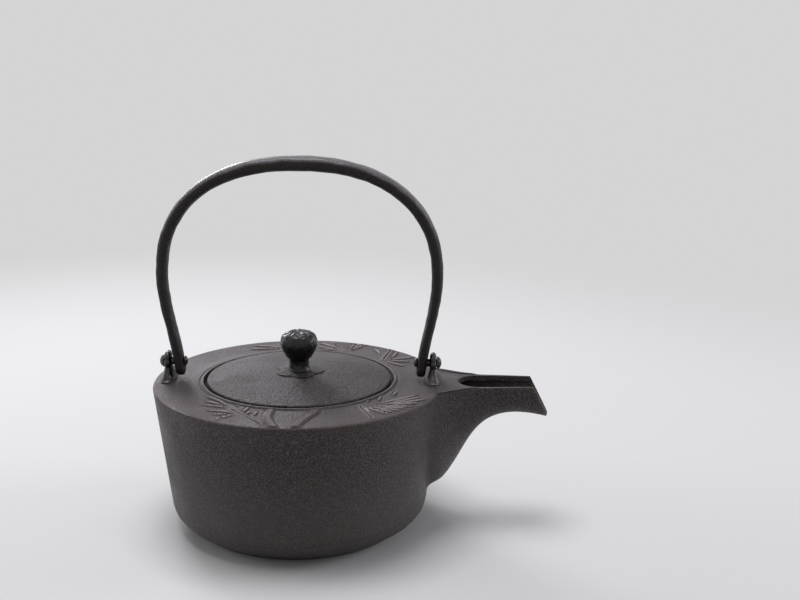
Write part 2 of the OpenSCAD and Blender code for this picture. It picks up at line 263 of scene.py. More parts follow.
def ramp(tree, value, low, high, a=0.0, b=1.0):
    # smooth step of the value from low to high, put out between a and b
    ends = {"From Min": low, "From Max": high, "To Min": a, "To Max": b}
    n = addNode(tree, "MapRange", {"Value": value}, interpolation_type="SMOOTHSTEP", **ends)
    return n.outputs["Result"]


def blendColour(tree, factor, a, b):
    # sockets 6 and 7 and output 2 of a Mix node are its colours
    n = addNode(tree, "Mix", data_type="RGBA")
    feed(tree, n.inputs[0], factor)
    feed(tree, n.inputs[6], a)
    feed(tree, n.inputs[7], b)
    return n.outputs[2]


def noise(tree, place, scale, detail, rough=0.5):
    n = addNode(tree, "TexNoise", {"Vector": place}, Scale=scale, Detail=detail, Roughness=rough)
    return n.outputs["Fac"]


# noises are (scale, detail, roughness)
sand = dict(grain=(1600, 4, 0.65), lumps=(620, 3, 0.5), lumpShare=0.7, holes=640, pitRange=(0.08, 0.3),
            pitShare=0.45, mottle=(34, 6, 0.62), mottleRange=(0.3, 0.7), speckRange=(0.43, 0.66))


def sandGroup():
    # skin left by a sand mould: grain and pits as a height, and slow mottling and fine specks from 0 to 1
    tree, given, out = newGroup("sandSkin", {"Grain": 1.0, "Pits": 1.0, "Size": 1.0},
                                ("Height", "Mottle", "Speck"))
    place = addNode(tree, "TexCoord").outputs["Object"]
    sized = addNode(tree, "VectorMath", {0: place, "Scale": given["Size"]}, operation="SCALE").outputs[0]
    grain = noise(tree, sized, *sand["grain"])
    lumps = noise(tree, sized, *sand["lumps"])
    holes = addNode(tree, "TexVoronoi", {"Vector": sized}, Scale=sand["holes"], Randomness=1)
    pits = ramp(tree, holes.outputs["Distance"], *sand["pitRange"], -1, 0)
    pits = math2(tree, "MULTIPLY", pits, given["Pits"])
    rough = math2(tree, "ADD", grain, math2(tree, "MULTIPLY", lumps, sand["lumpShare"]))
    rough = math2(tree, "MULTIPLY", rough, given["Grain"])
    feed(tree, out["Height"], math2(tree, "ADD", rough, math2(tree, "MULTIPLY", pits, sand["pitShare"])))
    feed(tree, out["Mottle"], ramp(tree, noise(tree, place, *sand["mottle"]), *sand["mottleRange"]))
    feed(tree, out["Speck"], ramp(tree, grain, *sand["speckRange"]))
    return tree


rubbing = dict(noise=(210, 5, 0.65), noiseRange=(0.3, 0.7), share=(0.5, 1.3))


def wearGroup():
    # rubbed edges: the painted edge measure, broken up by noise
    tree, given, out = newGroup("rubbedEdge", {"Start": 0.05, "Full": 0.2}, ("Mask",))
    edge = addNode(tree, "Attribute", attribute_name="edge").outputs["Fac"]
    place = addNode(tree, "TexCoord").outputs["Object"]
    share = ramp(tree, noise(tree, place, *rubbing["noise"]), *rubbing["noiseRange"], *rubbing["share"])
    uneven = math2(tree, "MULTIPLY", edge, share)
    n = addNode(tree, "MapRange", {"Value": uneven, "From Min": given["Start"], "From Max": given["Full"]},
                interpolation_type="SMOOTHSTEP")
    feed(tree, out["Mask"], n.outputs["Result"])
    return tree


hammer = dict(soft=0.5, scale=(900, 5, 0.6), scaleShare=0.35, mottle=(70, 5, 0.6), mottleRange=(0.3, 0.7))


def hammerGroup():
    # flats left by a hammer with fine scale on top, as a height, and slow mottling
    tree, given, out = newGroup("hammered", {"Flats": 1.0, "Scale": 190.0}, ("Height", "Mottle"))
    place = addNode(tree, "TexCoord").outputs["Object"]
    flats = addNode(tree, "TexVoronoi", {"Vector": place, "Scale": given["Scale"]}, feature="SMOOTH_F1",
                    Smoothness=hammer["soft"]).outputs["Distance"]
    deep = math2(tree, "MULTIPLY", flats, given["Flats"])
    scale = math2(tree, "MULTIPLY", noise(tree, place, *hammer["scale"]), hammer["scaleShare"])
    feed(tree, out["Height"], math2(tree, "ADD", deep, scale))
    feed(tree, out["Mottle"], ramp(tree, noise(tree, place, *hammer["mottle"]), *hammer["mottleRange"]))
    return tree


sandSkin, rubbedEdge, hammered = sandGroup(), wearGroup(), hammerGroup()


def placeGroup(tree, group, **values):
    return addNode(tree, "Group", node_tree=group, **values).outputs


def newFinish(name):
    material = bpy.data.materials.new(name)
    material.use_nodes = True
    tree = material.node_tree
    return material, tree, tree.nodes["Principled BSDF"]


def dress(tree, shader, values):
    # values or links for a shader's sockets
    for key, value in values.items():
        feed(tree, shader.inputs[key], value)


def bumped(tree, height, strength, distance):
    n = addNode(tree, "Bump", {"Height": height}, Strength=strength, Distance=distance * mm)
    return n.outputs["Normal"]


def ironFinish(name, look):
    # cast or forged iron: two mottled colours, a third on rubbed edges, and skin height as a bump
    material, tree, shader = newFinish(name)
    forged = "flats" in look
    if forged:
        skin = placeGroup(tree, hammered, Flats=look["flats"], Scale=look["flatScale"])
    else:
        skin = placeGroup(tree, sandSkin, Grain=look["grain"], Pits=look["pits"], Size=look["size"])
    wear = placeGroup(tree, rubbedEdge, Start=look["wearFrom"], Full=look["wearFull"])["Mask"]
    colour = blendColour(tree, skin["Mottle"], look["dark"], look["light"])
    if "low" in look:
        # painted light: the wall turns lighter towards the bottom, standing in for light thrown up from the
        # floor
        height = addNode(tree, "SeparateXYZ", {0: addNode(tree, "TexCoord").outputs["Object"]}).outputs["Z"]
        colour = blendColour(tree, ramp(tree, height, *look["lowRamp"]), colour, look["low"])
    if not forged:
        speck = math2(tree, "MULTIPLY", skin["Speck"], look["speck"])
        colour = blendColour(tree, speck, colour, look["speckColour"])
    if "topLight" in look:
        # another, lighter colour where the surface faces up: painted sheen of the light from above, on the
        # pot's shoulder mixed with its own purple-brown tone
        facing = addNode(tree, "SeparateXYZ", {0: addNode(tree, "TexCoord").outputs["Normal"]}).outputs["Z"]
        up = ramp(tree, facing, *look["topRange"])
        upToneAndSheen = blendColour(tree, skin["Mottle"], look["topDark"], look["topLight"])
        upToneAndSheen = blendColour(tree, speck, upToneAndSheen, look["topSpeck"])
        colour = blendColour(tree, up, colour, upToneAndSheen)
        if "coat" in look:
            dress(tree, shader, {"Coat Weight": math2(tree, "MULTIPLY", up, look["coat"]),
                                 "Coat Roughness": look["coatRough"]})
    colour = blendColour(tree, wear, colour, look["worn"])
    if "crestHighlight" in look:
        # brown stems; pale crests of the relief are painted highlights, and its dark grooves and cut lines
        # painted shade
        stem = addNode(tree, "Attribute", attribute_name="stem").outputs["Fac"]
        relief = addNode(tree, "Attribute", attribute_name="relief").outputs["Fac"]
        colour = blendColour(tree, ramp(tree, stem, *look["stemRamp"]), colour, look["stem"])
        offStem = ramp(tree, stem, *look["offStemRamp"])
        crestHighlight = math2(tree, "MULTIPLY", ramp(tree, relief, *look["crestHighlightRamp"]), offStem)
        colour = blendColour(tree, crestHighlight, colour, look["crestHighlight"])
        colour = blendColour(tree, ramp(tree, relief, *look["grooveShadeRamp"]), colour, look["groove"])
    rough = ramp(tree, skin["Mottle"], 0, 1, look["rough"], look["rough"] + look["roughSpread"])
    dress(tree, shader, {"Base Color": colour, "Roughness": rough, "Specular IOR Level": look["gloss"],
                         "Specular Tint": look["sheen"],
                         "Normal": bumped(tree, skin["Height"], look["bump"], look["depth"])})
    return material


# camera and stage

view = dict(lens=54, sensor=36, near=0.01, place=(0.0511, -0.5864, 0.2622), down=13.954, roll=0.506)


def makeCamera():
    # level camera in front of the object, tipped down and rolled a little
    camera = addObject("photoCamera", bpy.data.cameras.new("photoCamera"))
    camera.data.lens = view["lens"]
    camera.data.sensor_width = view["sensor"]
    camera.data.clip_start = view["near"]
    camera.matrix_world = (Matrix.Translation(view["place"])
                           @ Matrix.Rotation(math.radians(90 - view["down"]), 4, "X")
                           @ Matrix.Rotation(math.radians(view["roll"]), 4, "Z"))
    bpy.context.scene.camera = camera


room = dict(fill=(0.97, 0.98, 1, 1), strength=0.205, pale=(0.66, 0.66, 0.665, 1))
floor = dict(rings=(0, 250, 500, 1000, 2500, 6000), paper=(0.75, 0.75, 0.755, 1), rough=0.85, gloss=0.2,
             fibre=(420, 4), fibreBump=0.08, fibreDepth=0.4, fadeFrom=0.3, fadeTo=0.75)


def seenPale(tree):
    # 1 for what the camera, reflections and glass see, 0 for the light that falls on the object
    path = addNode(tree, "LightPath").outputs
    mirror = math2(tree, "ADD", path["Is Glossy Ray"], path["Is Transmission Ray"])
    return math2(tree, "ADD", path["Is Camera Ray"], mirror, clamp=True)


def makeStage():
    # round floor of paper, spun about Z, that fades into the room's pale colour away from the object
    mesh = patchMesh("paperFloor", [spun(np.array([(r, 0) for r in floor["rings"]], float), fullTurn)])
    if mesh.polygons[0].normal.z < 0:
        mesh.flip_normals()
    material, tree, shader = newFinish("palePaper")
    place = addNode(tree, "TexCoord").outputs["Object"]
    fibre = bumped(tree, noise(tree, place, *floor["fibre"]), floor["fibreBump"], floor["fibreDepth"])
    dress(tree, shader, {"Base Color": floor["paper"], "Roughness": floor["rough"],
                         "Specular IOR Level": floor["gloss"], "Normal": fibre})
    away = addNode(tree, "VectorMath", {0: place}, operation="LENGTH").outputs["Value"]
    fade = math2(tree, "MULTIPLY", ramp(tree, away, floor["fadeFrom"], floor["fadeTo"]), seenPale(tree))
    pale = addNode(tree, "Emission", Color=room["pale"])
    both = addNode(tree, "MixShader", {0: fade, 1: shader.outputs[0], 2: pale.outputs[0]})
    tree.links.new(both.outputs[0], tree.nodes["Material Output"].inputs["Surface"])
    mesh.materials.append(material)
    addObject("paperFloor", mesh)


lights = dict(
    top=dict(place=(-0.1, 0.08, 1.25), aim=(0, 0, 0.05), size=0.6, power=9, tint=(0.99, 0.975, 1)),
    back=dict(place=(-0.52, 1.08, 0.56), aim=(0, 0, 0.08), size=0.46, power=6.2, tint=(0.98, 0.955, 1)),
    left=dict(place=(-1.1, 0.2, 0.4), aim=(0, 0, 0.08), size=0.5, power=2.2, tint=(1, 0.99, 0.97)),
    right=dict(place=(1.15, 0.25, 0.4), aim=(0, 0, 0.08), size=0.5, power=4, tint=(0.94, 0.965, 1)))


def makeLights():
    for name, lamp in lights.items():
        data = bpy.data.lights.new(name + "Light", "AREA")
        data.size = lamp["size"]
        data.energy = lamp["power"]
        data.color = lamp["tint"]
        obj = addObject(name + "Light", data)
        obj.location = lamp["place"]
        obj.visible_camera = False
        aim = Vector(lamp["aim"]) - obj.location
        obj.rotation_euler = aim.to_track_quat("-Z", "Y").to_euler()
    world = bpy.data.worlds.new("studioRoom")
    world.use_nodes = True
    tree = world.node_tree
    dim = tree.nodes["Background"]
    dress(tree, dim, {"Color": room["fill"], "Strength": room["strength"]})
    pale = addNode(tree, "Background", Color=room["pale"])
    both = addNode(tree, "MixShader", {0: seenPale(tree), 1: dim.outputs[0], 2: pale.outputs[0]})
    tree.links.new(both.outputs[0], tree.nodes["World Output"].inputs["Surface"])
    bpy.context.scene.world = world
    bpy.context.scene.view_settings.view_transform = "Standard"


makeCamera()
makeStage()
makeLights()
print("camera, floor and light are set")


# pot: wall, shoulder, mouth, foot and spout, one casting

# sizes first, then how finely each stretch is divided
pot = dict(shoulderH=74.3, rimD=148, heelD=131, heelH=8.5, heelRound=11, edgeRound=1.1, footD=108,
           footEdge=1.2, creaseZ=11.7, creaseW=0.5, creaseDepth=0.4, wall=2.5, floorT=3.2,
           innerHeelRound=9.5, innerFootRound=1.5, shoulderT=3, mouthD=96.6, recessDepth=2.4, ledgeW=5.1,
           ledgeT=2.6, ledgeRound=0.4, roofRound=1, roofEdge=0.8, mouthRise=0.6, riseW=8, beadW=1.3,
           beadH=0.5, beadSlope=0.15, beadRound=0.25, grooveOut=0.8, grooveW=0.35, grooveDepth=0.45,
           aroundWall=470, aroundRoot=44, nearRoot=0.55, outerSteps=8, innerSteps=4, mouthSteps=3,
           creaseFrom=8, creaseStep=0.6, shoulderRows=47, beadRows=13, beadZone=3, beadStep=0.3)
spout = dict(reach=45.2, lipW=19.8, lipDepth=18.6, lipSlant=8.3, rootW=60, rootDepth=59.3, rootSet=10,
             keelSet=1.9, topPulls=((3, 0.6), (14, 2.7)), keelPulls=((17.2, 44.6), (5.8, 6.3)), floorT=2.6,
             lipWall=1.5, rootWall=12, wallFade=3, deckLen=7.4, slotW=18.4, fullness=2.3, slotEdge=0.4,
             topEdge=0.6, thinFrom=0.3, thinOver=0.4, lipEdge=0.35, lipGrow=1.5, lipStation=0.995,
             edgeRows=6, sideRows=22, along=56, nearRoot=1.25, deckRows=6, lipRows=6, rootLimit=0.6,
             halvings=45)

rimR, heelR = pot["rimD"] / 2, pot["heelD"] / 2
footR, mouthR = pot["footD"] / 2, pot["mouthD"] / 2
beadR = mouthR + pot["beadW"]
topZ = pot["shoulderH"]
roofZ = topZ - pot["shoulderT"]
mouthZ = topZ + pot["mouthRise"]
ledgeZ = mouthZ - pot["recessDepth"]
throatR = mouthR - pot["ledgeW"]
wallSlope = (rimR - heelR) / (topZ - pot["heelH"])
# middle of the round at the shoulder's edge, which touches the shoulder and the sloping wall
edgeR = rimR - pot["edgeRound"] * (math.hypot(1, wallSlope) + wallSlope)
# places along the spout, closer together near its root
alongSpout = np.linspace(0, 1, spout["along"] + 1) ** spout["nearRoot"]


def outerRadius(z):
    # straight slope of the wall, and above it the round of the shoulder's edge
    straight = rimR - wallSlope * (topZ - z)
    up = np.clip(z - (topZ - pot["edgeRound"]), 0, pot["edgeRound"])
    return np.minimum(straight, edgeR + np.sqrt(pot["edgeRound"] ** 2 - up ** 2))


def innerRadius(z):
    # the same slope, a wall's thickness further in
    return rimR - wallSlope * (topZ - z) - pot["wall"]


def bezier(p, t):
    # cubic curve from the first point to the last, pulled by the two between
    t = np.asarray(t)[..., None]
    return (1 - t) ** 3 * p[0] + 3 * (1 - t) ** 2 * t * p[1] + 3 * (1 - t) * t ** 2 * p[2] + t ** 3 * p[3]


def bezierWay(p, t):
    # direction of the same curve
    t = np.asarray(t)[..., None]
    d = (1 - t) ** 2 * (p[1] - p[0]) + 2 * (1 - t) * t * (p[2] - p[1]) + t ** 2 * (p[3] - p[2])
    return d / np.linalg.norm(d, axis=-1)[..., None]


# top edge seen from above as (x, half width), and keel seen from the side as (x, depth below the shoulder)
topCurve = np.array([(rimR - spout["rootSet"], spout["rootW"] / 2)]
                    + [(rimR + x, spout["lipW"] / 2 + w) for x, w in spout["topPulls"]]
                    + [(rimR + spout["reach"], spout["lipW"] / 2)])
keelCurve = np.array([(rimR - wallSlope * spout["rootDepth"] - spout["keelSet"], -spout["rootDepth"])]
                     + [(rimR + x, -z) for x, z in spout["keelPulls"]]
                     + [(rimR + spout["reach"] + spout["lipSlant"], -spout["lipDepth"])])


def spoutSkin(t, v, inset, side, drop, edge):
    # point of the spout at station t: v runs from 0, a drop below the top, round to 1 at the keel, on a
    # superellipse between the two curves, and from -1 to 0 over the rounded top edge
    t, v = np.broadcast_arrays(t, v)
    top, keel, way = bezier(topCurve, t), bezier(keelCurve, t), bezierWay(keelCurve, t)
    keelX, depth = keel[..., 0] - inset * way[..., 1], -keel[..., 1] - inset * way[..., 0]
    n = spout["fullness"]
    a = np.arccos((drop / depth) ** (n / 2)) * (1 - np.clip(v, 0, 1))
    c, s = np.cos(a) ** (2 / n), np.sin(np.maximum(a, 0)) ** (2 / n)
    f = (1 + np.clip(v, -1, 0)) * math.pi / 2
    x = mix(top[..., 0], mix(top[..., 0], keelX, c), np.where(v < 0, 1 - np.cos(f), 1))
    y = (top[..., 1] - side) * s - edge * (1 - np.sin(f))
    z = np.where(v < 0, -edge * (1 - np.cos(f)), -depth * c)
    return joined(x, y, topZ + z)


def outside(t, v):
    # the round of the top edge gets smaller towards the thin lip
    thin = smooth((np.asarray(t) - spout["thinFrom"]) / spout["thinOver"])
    edge = mix(pot["edgeRound"], spout["topEdge"], thin)
    return spoutSkin(t, v, 0, 0, edge, edge)


def inside(t, v):
    # the wall gets thicker towards the root
    side = mix(spout["lipWall"], spout["rootWall"], (1 - np.asarray(t)) ** spout["wallFade"])
    return spoutSkin(t, v, spout["floorT"], side, pot["shoulderT"], 0)


def rootStation(v, skin, radius):
    # station at which each line of the spout leaves the wall, found by halving
    low, high = np.zeros_like(v), np.full_like(v, spout["rootLimit"])
    for _ in range(spout["halvings"]):
        t = (low + high) / 2
        p = skin(t, v)
        out = np.hypot(p[..., 0], p[..., 1]) > radius(p[..., 2])
        low, high = np.where(out, low, t), np.where(out, t, high)
    return (low + high) / 2


def mirrored(p):
    return p * np.array([1, -1, 1])


def wallAround(root):
    # angles round the wall from one side of the spout's root to the other, closer together near the root
    s = np.linspace(0, 1, pot["aroundWall"] + 1)
    s = s - pot["nearRoot"] * np.sin(2 * math.pi * s) / (2 * math.pi)
    return root + (2 * math.pi - 2 * root) * s


def shellPatches(skin, radius, v, lower):
    # wall with a notch for the spout, the wall below it, one side of the spout out to the lip, and half the
    # angle that the spout takes up at the top
    start = rootStation(v, skin, radius)
    p = skin(start, v)
    root = np.arctan2(p[:, 1], p[:, 0])
    root[-1] = 0
    r, z = radius(p[:, 2])[:, None], p[:, 2:]
    wall = polar(r, wallAround(root[:, None]), z)
    corners = [(r[-1, 0], z[-1, 0], 0)] + lower
    if skin is inside:
        line = roundedLine(corners, pot["innerSteps"])
    else:
        line = roundedLine(corners, pot["outerSteps"])
        high = line[:, 1] > pot["creaseFrom"]
        line = np.concatenate([filled(line[high], pot["creaseStep"]), line[~high]])
        line[:, 0] -= pot["creaseDepth"] * bump(line[:, 1] - pot["creaseZ"], pot["creaseW"])
    below = spun(line, wallAround(0))
    t = start[:, None] + (spout["lipStation"] - start[:, None]) * alongSpout
    return wall, below, skin(t, v[:, None]), root[0]


def shoulderLine():
    # from the shoulder's edge in to the bead: flat, then rising, with a fine groove outside the bead
    r = np.concatenate([np.linspace(edgeR, beadR + pot["beadZone"], pot["shoulderRows"]),
                        np.linspace(beadR + pot["beadZone"] - pot["beadStep"], beadR, pot["beadRows"])])
    rise = pot["mouthRise"] * smooth((beadR + pot["riseW"] - r) / pot["riseW"])
    groove = pot["grooveDepth"] * bump(r - beadR - pot["grooveOut"], pot["grooveW"])
    return joined(r, topZ + rise - groove)


def mouthLine():
    # over the bead, down to the ledge, down the throat, back under the ledge and out along the roof
    beadTop, under = mouthZ + pot["beadH"], ledgeZ - pot["ledgeT"]
    slope, small, ledge = pot["beadSlope"] * pot["beadW"], pot["beadRound"], pot["ledgeRound"]
    return roundedLine([
        (beadR, mouthZ, 0), (beadR - slope, beadTop, small), (mouthR + slope, beadTop, small),
        (mouthR, ledgeZ, ledge), (throatR, ledgeZ, ledge), (throatR, under, ledge),
        (mouthR, under, pot["roofRound"]), (mouthR + pot["ledgeT"], roofZ, pot["roofEdge"]),
        (innerRadius(roofZ), roofZ, 0)], pot["mouthSteps"])


def makePot():
    # grids that share their edges: outer and inner shell with the spout, then shoulder, deck, slot and lip
    edgeV = np.linspace(-1, 0, spout["edgeRows"] + 1)
    sideV = np.linspace(0, 1, spout["sideRows"] + 1)
    outerV = np.concatenate([edgeV, sideV[1:]])
    wall, below, side, rootAngle = shellPatches(
        outside, outerRadius, outerV,
        [(heelR, pot["heelH"], pot["heelRound"]), (footR, 0, pot["footEdge"]), (0, 0, 0)])
    innerHeel = pot["heelH"] + pot["floorT"]
    innerWall, innerBelow, channel, innerAngle = shellPatches(
        inside, innerRadius, sideV,
        [(innerRadius(innerHeel), innerHeel, pot["innerHeelRound"]),
         (footR - pot["wall"], pot["floorT"], pot["innerFootRound"]), (0, pot["floorT"], 0)])

    # shoulder, mouth and roof in one, from the outer wall's angles to the inner wall's
    arc = np.linspace(-1, 1, pot["aroundRoot"] + 1)[:-1]
    outerTurn = np.concatenate([arc * rootAngle, wallAround(rootAngle)])
    innerTurn = np.concatenate([arc * innerAngle, wallAround(innerAngle)])
    shoulder, mouth = shoulderLine(), mouthLine()
    rings = np.concatenate([shoulder, mouth[1:]])
    inwards = smooth((np.arange(len(rings)) - len(shoulder)) / len(mouth))
    turn = mix(outerTurn, innerTurn, inwards[:, None])
    turn[-1] = innerTurn
    top = spun(rings, turn)

    # deck round the open slot: half of it from the middle of the rim's arc out to the lip, then mirrored
    quarter = np.linspace(0, 1, pot["aroundRoot"] // 2 + 1)
    slotR = spout["slotW"] / 2
    slotX = rimR + spout["deckLen"] + slotR
    lipTop, lipIn = side[0, -1], channel[0, -1]

    def slotLine(off, z):
        # half outline of the slot at a height, widened by an offset: quarter circle and side to the lip
        f = math.pi * (1 - quarter / 2)
        bend = joined(slotX + (slotR + off) * np.cos(f), (slotR + off) * np.sin(f), z)
        endX = mix(lipTop[0], lipIn[0], (topZ - z) / pot["shoulderT"])
        t = alongSpout[1:]
        straight = joined(mix(slotX, endX, t), mix(slotR, lipIn[1], t) + off, z)
        return np.concatenate([bend, straight])

    def rimLine(radius, angle, z, edge):
        # arc of the wall's top, and from its end the spout's edge
        return np.concatenate([polar(radius, angle * quarter, z), edge[1:]])

    e = spout["slotEdge"]
    bends = np.linspace(0, math.pi / 2, spout["edgeRows"] - 1)
    slotWall = np.stack([slotLine(e * (1 - math.sin(a)), topZ - e * (1 - math.cos(a))) for a in bends]
                        + [slotLine(0, roofZ + e), slotLine(0, roofZ)])
    across = np.linspace(0, 1, spout["deckRows"] + 1)[:, None, None]
    deck = mix(rimLine(edgeR, rootAngle, topZ, side[0])[None], slotWall[0][None], across)
    ceiling = np.stack([slotWall[-1], rimLine(innerRadius(roofZ), innerAngle, roofZ, channel[0])])

    # lip: strip between the outer and the inner section, bulging out to a round edge
    inner = np.concatenate([slotWall[:, -1], channel[1:, -1]])[:, None]
    outer = side[:, -1][:, None]
    over = np.linspace(0, 1, spout["lipRows"] + 1)[None, :, None]
    slant = np.array([spout["lipDepth"], 0, spout["lipSlant"]])
    slant = slant / np.linalg.norm(slant)
    grow = smooth((outerV + 1) * spout["lipGrow"])[:, None, None]
    lip = mix(outer, inner, over) + spout["lipEdge"] * grow * np.sqrt(1 - (2 * over - 1) ** 2) * slant
    halves = [side, deck, slotWall, ceiling, channel, lip]
    halves += [mirrored(h) for h in halves]
    mesh = patchMesh("potCasting", [top, wall, below, innerWall, innerBelow] + halves)
    rootLine = np.concatenate([side[:, 0], mirrored(side[:, 0])])
    finishPot(mesh, softenRoot(points(mesh), edgesOf(mesh), rootLine))
    return mesh


fillet = dict(fromX=45, topGap=0.05, wallGap=1.2, reach=11, fadeH=3, watch=60, rounds=60, pull=0.5)


def softenRoot(p, edges, line):
    # fillet: points near the line where wall and spout meet are drawn towards their neighbours
    near = (p[:, 0] > fillet["fromX"]) & (p[:, 2] < topZ - fillet["topGap"])
    near &= np.hypot(p[:, 0], p[:, 1]) > innerRadius(p[:, 2]) + fillet["wallGap"]
    away = np.full(len(p), farAway)
    away[near] = np.linalg.norm(p[near][None] - line[:, None], axis=-1).min(0)
    weight = smooth((fillet["reach"] - away) / fillet["reach"])[:, None]
    weight = weight * smooth((topZ - p[:, 2:]) / fillet["fadeH"])
    edges = edges[(away[edges] < fillet["watch"]).all(1)]
    for _ in range(fillet["rounds"]):
        p = p + fillet["pull"] * weight * (averaged(p, edges) - p)
    return p


castSkin = dict(flatGap=0.02, beadClear=1.6, edgeClear=0.5, edgeFade=1.5,
                uneven=0.07, unevenWave=(30, 3), sink=3.4, unevenFromZ=6, unevenFromR=55, unevenFade=4,
                # painted light: a painted highlight on the bead, painted shade in its groove and in the lid's
                # recess
                beadHighlight=0.35, beadHighlightW=0.45, beadFromZ=0.1, grooveShade=0.5,
                recessShade=0.5, recessOut=0.1, recessIn=0.5, recessUp=0.8, recessH=1.4,
                rimOut=0.3, rimW=1.8, rimBelow=1.3, rimShare=0.7, rimSpread=0.3, rimWave=(14, 17),
                rootHalf=18, rootFade=5)


def finishPot(mesh, p):
    # relief on the shoulder, and the slow unevenness of a casting, which only sinks
    s = castSkin
    relief, stem = shoulderRelief(p[:, 0], p[:, 1])
    r = np.hypot(p[:, 0], p[:, 1])
    flat = (p[:, 2] > topZ - s["flatGap"]) & (r > beadR + s["beadClear"])
    keep = np.where(flat, smooth((edgeR + s["edgeClear"] - r) / s["edgeFade"]), 0)
    p[:, 2] += relief * keep
    movePoints(mesh, p)
    uneven = np.where(p[:, 2] > s["unevenFromZ"], s["uneven"] * (ripple(p, *s["unevenWave"]) - s["sink"]), 0)
    uneven = uneven * smooth((r - s["unevenFromR"]) / s["unevenFade"]) * (1 - keep)
    movePoints(mesh, p + normals(mesh) * uneven[:, None])
    # painted light: a painted highlight on the bead, painted shade in the groove beside it and in the recess
    # where the lid sits, and the relief's height for its painted crests and grooves
    ring = np.where(p[:, 2] > topZ + s["beadFromZ"], r - mouthR, farAway)
    bead = s["beadHighlight"] * bump(ring - pot["beadW"] / 2, s["beadHighlightW"])
    bead = bead - s["grooveShade"] * bump(ring - pot["beadW"] - pot["grooveOut"], pot["grooveW"])
    recess = (r < mouthR + s["recessOut"]) & (r > throatR - s["recessIn"])
    recess &= np.abs(p[:, 2] - ledgeZ - s["recessUp"]) < s["recessH"]
    paint(mesh, "relief", np.where(recess, -s["recessShade"], relief * keep + bead))
    # the shoulder's edge is rubbed brown, but not across the spout's root
    rim = bump(r - edgeR - s["rimOut"], s["rimW"]) * (p[:, 2] > topZ - s["rimBelow"])
    rim = rim * (s["rimShare"] + s["rimSpread"] * ripple(p, *s["rimWave"]))
    rim = rim * np.where(p[:, 0] > 0, smooth((np.abs(p[:, 1]) - s["rootHalf"]) / s["rootFade"]), 1)
    paint(mesh, "stem", np.maximum(stem * keep, rim))


# bamboo in low relief: stems as (points, width), twigs as lines cut between two low ridges, and sprays of thin
# leaves as (hub, tips), each leaf between two shares of the way from hub to tip

bamboo = dict(
    stems=[([(-9.6, -51.5), (-10.9, -58), (-9, -65), (-5.6, -72)], 3.5),
           ([(11.6, -51), (8.2, -57.5), (5.2, -65), (3.6, -72)], 3.6)],
    twigs=[[(-27.8, -48.5), (-20.5, -58), (-12.5, -68)], [(32.5, -42.5), (35.2, -50), (38.6, -58)],
           [(42.2, 34.5), (44.2, 45), (47, 56)], [(20.5, 50), (17.8, 56.5), (14.5, 65)]],
    sprays=[((-26.5, -47), [(-25, -42)]), ((-24.2, -53.5), [(-19.8, -46)]), ((-22.2, -56.5), [(-18, -49)]),
            ((-17.6, -58.4), [(-16, -49.6)]), ((-28.5, -47.5), [(-44, -30), (-45, -42)]),
            ((-24, -54.5), [(-41, -50), (-34, -63)]),
            ((33.5, -41), [(48.5, -54), (54, -48), (60, -41), (66.5, -29.5), (62.5, -22)]),
            ((34.8, -42.5), [(37.8, -51)]), ((35, -38.5), [(37, -32.5)]), ((39.8, -36), [(42.2, -28.6)]),
            ((47, -27.5), [(49.8, -19)]), ((42.5, 35), [(61, 42)]), ((42.5, 34.5), [(58, 32)]),
            ((42.5, 33), [(55, 23)]), ((40.8, 43.5), [(36.8, 56)]), ((45, 36), [(50, 53)]),
            ((20.5, 50.5), [(33, 66), (26, 68)]), ((17, 55), [(6, 66)]), ((17, 54), [(4, 58.5)]),
            ((18, 52), [(7, 52)]), ((-12, 55), [(-31, 60)]), ((-12, 54), [(-32, 52)])],
    strokeSteps=12, stemH=0.9, stemEdge=0.25, stemHollow=0.25, stemGroove=0.7, stemGrooveW=0.5,
    twigH=0.5, twigEdge=0.85, twigW=0.45, twigCut=0.4, cutW=0.5,
    leafH=0.9, leafW=1.4, leaf=(0.14, 1), between=(0.4, 0.94), leafBend=0.05, leafFull=1.75, leafRoot=0.5,
    leafTip=0.55, leafEdge=0.55, leafEnds=6, leafGroove=0.35, groove=0.35, grooveStop=0.3)


def alongLine(x, y, a, b):
    # place along the segment from a to b, from 0 to 1, distance from it, with its sign, and its length
    d = np.subtract(b, a)
    length = np.hypot(*d)
    along = ((x - a[0]) * d[0] + (y - a[1]) * d[1]) / length ** 2
    return along, ((y - a[1]) * d[0] - (x - a[0]) * d[1]) / length, length


def strokeDistance(x, y, line):
    # distance from a curved line; of three points the middle one pulls twice
    if len(line) == 3:
        line = [line[0], line[1], line[1], line[2]]
    line = bezier(np.array(line, float), np.linspace(0, 1, bamboo["strokeSteps"] + 1))
    best = np.full(x.shape, farAway)
    for a, b in zip(line[:-1], line[1:]):
        along, off, length = alongLine(x, y, a, b)
        over = np.clip(np.abs(along - 0.5) - 0.5, 0, None) * length
        best = np.minimum(best, np.hypot(off, over))
    return best


